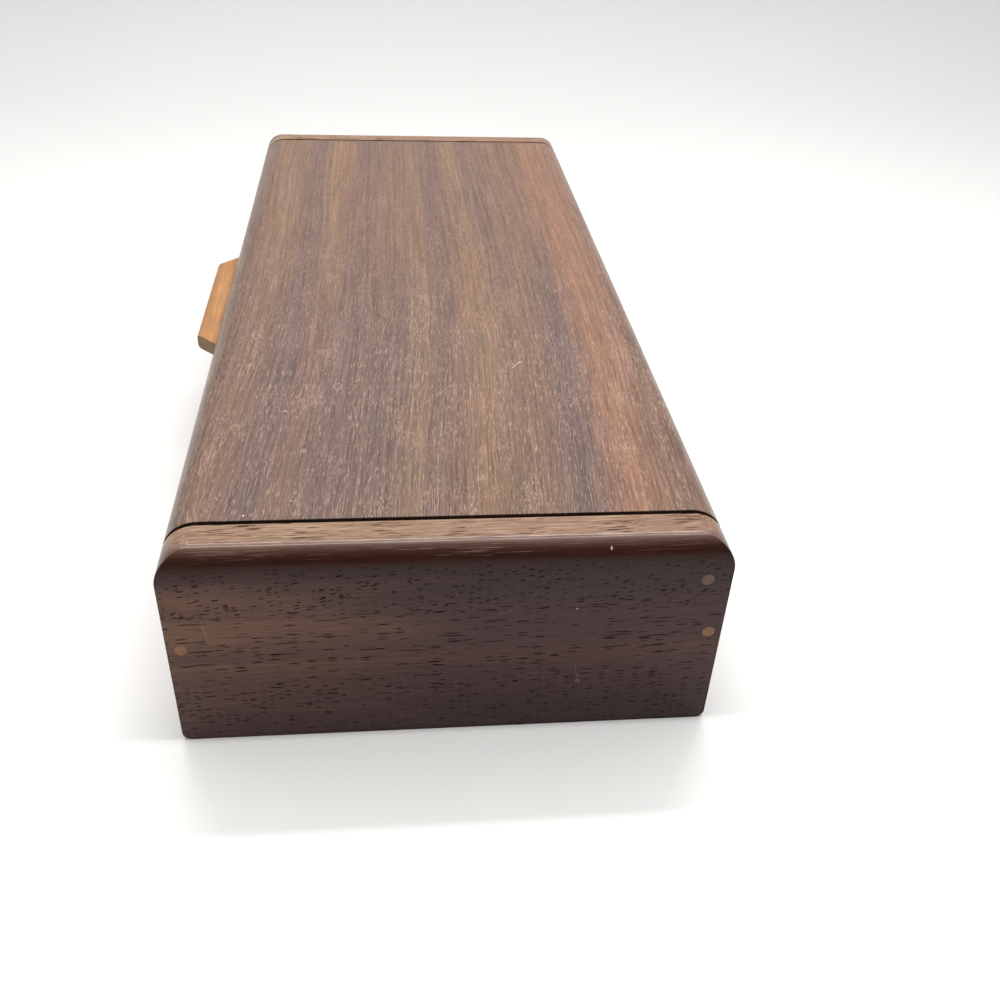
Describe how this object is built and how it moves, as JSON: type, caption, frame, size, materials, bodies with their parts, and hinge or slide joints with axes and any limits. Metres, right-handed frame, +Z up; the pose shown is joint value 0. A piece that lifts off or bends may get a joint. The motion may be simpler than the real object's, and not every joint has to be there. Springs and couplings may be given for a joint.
{
  "type": "valet box",
  "caption": "Long low hardwood valet box with a thick rounded lid turning on wooden end pins, a tapered front pull and a divided, lined inside.",
  "frame": {"origin": "middle of the box's underside, between the end panels and between the front and back faces, with the pull left out", "axes": "+X along the box to the right end panel, -Y towards the front with the pull, +Z up"},
  "size_m": [0.3112, 0.1409, 0.0585],
  "materials": {
    "dark_hardwood": "open-grained dark rosewood, rubbed satin finish",
    "pull_wood": "orange-tan hardwood, satin",
    "dowel_wood": "brown dowel, sanded flush",
    "divider_wood": "orange-tan hardwood, satin",
    "bottom_wood": "plain pale hardwood, matt",
    "suede": "brown suede with a short nap"
  },
  "bodies": {
    "box": {"end_panel_right": "dark_hardwood", "end_panel_left": "dark_hardwood", "front_wall": "dark_hardwood", "back_wall": "dark_hardwood", "bottom_panel": "bottom_wood", "hinge_pin_right": "dowel_wood", "hinge_pin_left": "dowel_wood", "front_wall_dowel_right": "dowel_wood", "front_wall_dowel_left": "dowel_wood", "back_wall_dowel_right": "dowel_wood", "back_wall_dowel_left": "dowel_wood", "divider_right": "divider_wood", "divider_left": "divider_wood", "lining_pad_right": "suede", "lining_pad_centre": "suede", "lining_pad_left": "suede"},
    "lid": {"lid_board": "dark_hardwood", "lid_pull": "pull_wood"}
  },
  "joints": [
    {"name": "lid_hinge", "type": "hinge", "parent": "box", "child": "lid", "pos_m": [0, 0.0606, 0.0467], "axis": [-1, 0, 0], "range_deg": [0, 95]}
  ]
}
